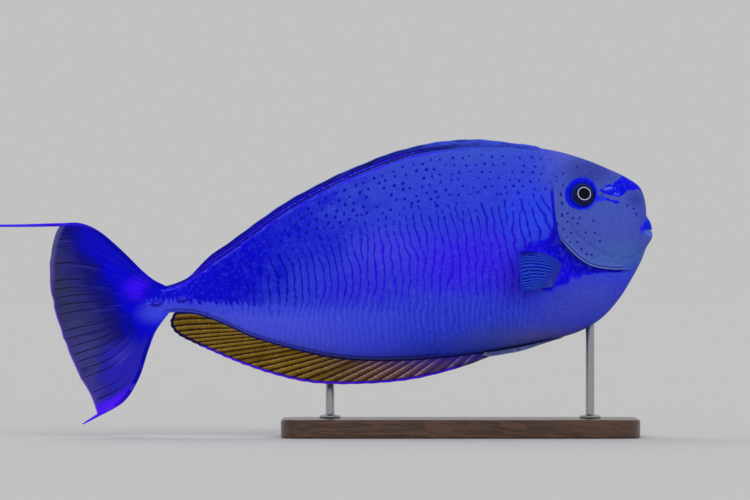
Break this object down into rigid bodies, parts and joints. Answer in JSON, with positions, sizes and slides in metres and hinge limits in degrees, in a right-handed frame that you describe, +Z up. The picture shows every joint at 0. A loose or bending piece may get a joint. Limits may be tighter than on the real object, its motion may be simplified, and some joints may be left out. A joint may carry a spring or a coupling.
{
  "type": "bignose unicornfish display model",
  "caption": "Life-size display model of a deep-bodied blue reef fish with a swept tail and folded fins, held level on two rods over a wooden base.",
  "frame": {"origin": "centre of the stand base's underside, on the floor", "axes": "+X towards the fish's snout, +Y to its left side, +Z up"},
  "size_m": [0.5092, 0.112, 0.2084],
  "materials": {
    "head_skin": "painted cast, satin, violet-blue with bright blue face markings",
    "flank_skin": "painted cast, satin, deep blue with darker bars, dashes and dots",
    "fin_membrane": "painted thin cast, satin, dark rays and bright blue edges",
    "keel": "painted cast, glossy, light violet-blue",
    "eye": "polished glass eye, dark iris with a thin silver ring",
    "stand_wood": "dark stained hardwood, satin lacquer",
    "stand_steel": "brushed stainless steel"
  },
  "bodies": {
    "root": {"head": "head_skin", "trunk": "flank_skin", "tail_stalk": "flank_skin", "eye_right": "eye", "eye_left": "eye", "dorsal_fin": "fin_membrane", "anal_fin": "fin_membrane", "caudal_fin": "fin_membrane", "tail_streamer": "fin_membrane", "pectoral_fin_right": "fin_membrane", "pectoral_fin_left": "fin_membrane", "pelvic_fin_right": "fin_membrane", "pelvic_fin_left": "fin_membrane", "keel_right_front": "keel", "keel_right_rear": "keel", "keel_left_front": "keel", "keel_left_rear": "keel", "stand_base": "stand_wood", "stand_rod_front": "stand_steel", "stand_rod_rear": "stand_steel"}
  },
  "joints": []
}
